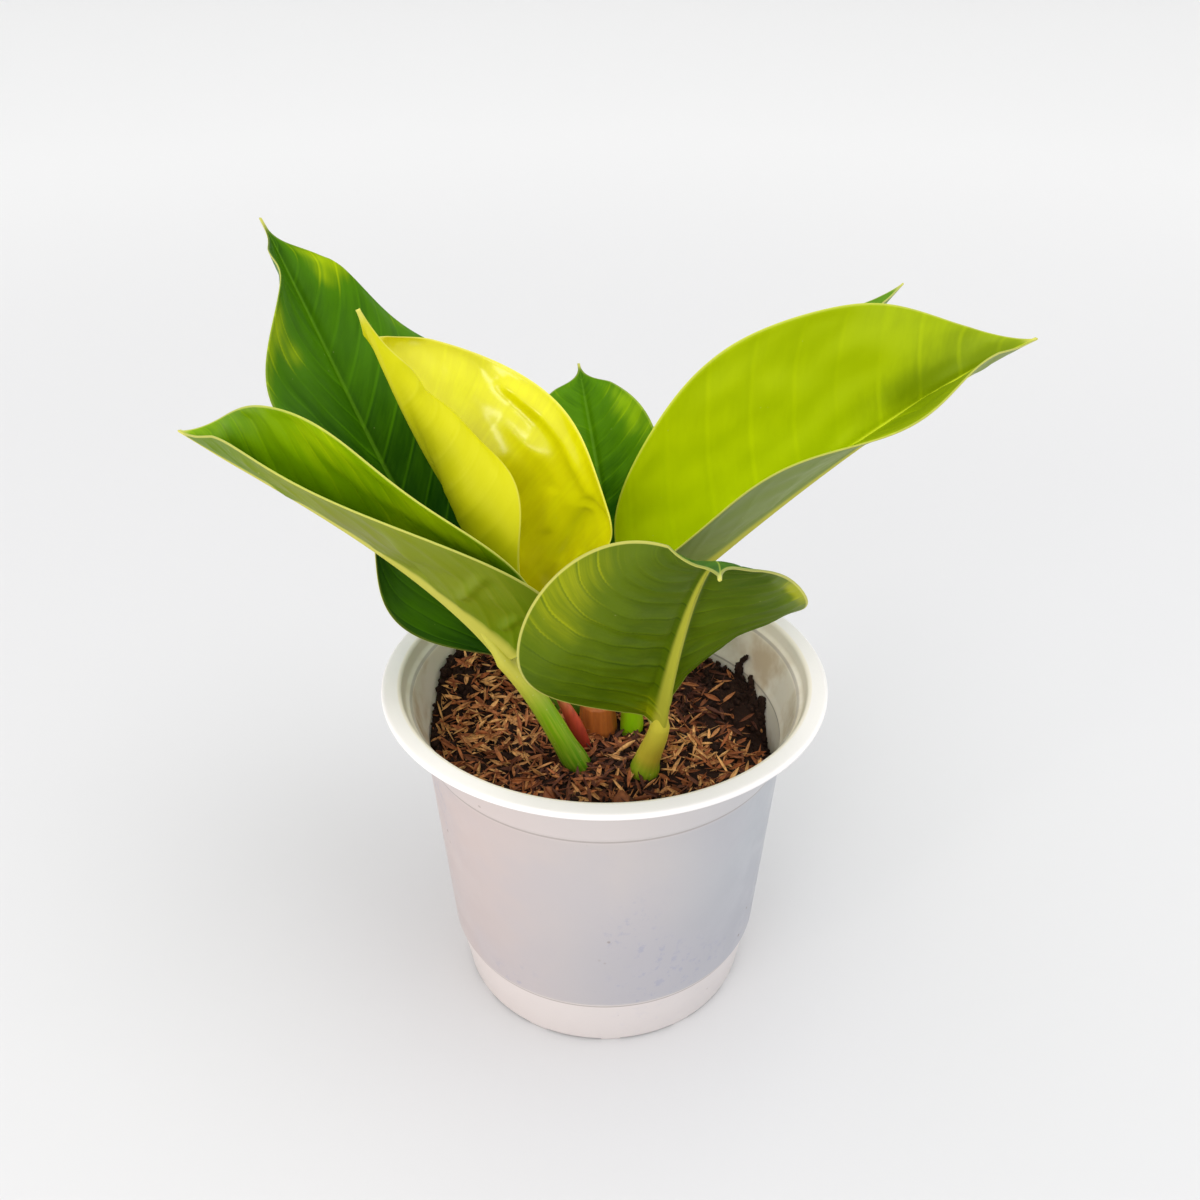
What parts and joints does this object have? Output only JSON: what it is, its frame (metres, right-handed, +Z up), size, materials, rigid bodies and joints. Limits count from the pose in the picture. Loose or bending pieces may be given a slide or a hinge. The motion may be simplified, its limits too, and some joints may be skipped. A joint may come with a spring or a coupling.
{
  "type": "potted philodendron",
  "caption": "House plant with broad glossy green leaves and one young gold leaf half unrolled, in potting mix with rice husks, in a white plastic nursery pot.",
  "frame": {"origin": "centre of the pot's flat base, on the surface that it stands on", "axes": "+Z up along the pot's axis, -Y towards the viewer of the picture, +X to that viewer's right"},
  "size_m": [0.325, 0.2585, 0.2891],
  "materials": {
    "pot_plastic": "satin white, faint scuffs",
    "mix": "matt dark compost with tan rice husks",
    "stem_tan": "satin, fibrous",
    "sheath_red": "satin",
    "leaf_green": "glossy above, satin below",
    "leaf_dark": "glossy above, satin below",
    "leaf_lime": "glossy above, satin below",
    "leaf_gold": "glossy inside, matt outside"
  },
  "bodies": {
    "root": {"pot": "pot_plastic", "potting_mix": "mix", "stem": "stem_tan", "sheath_red": "sheath_red", "leaf_front": "leaf_green", "leaf_left": "leaf_green", "leaf_back_left": "leaf_dark", "leaf_young_gold": "leaf_gold", "leaf_back": "leaf_dark", "leaf_right": "leaf_lime", "leaf_right_back": "leaf_lime"}
  },
  "joints": []
}
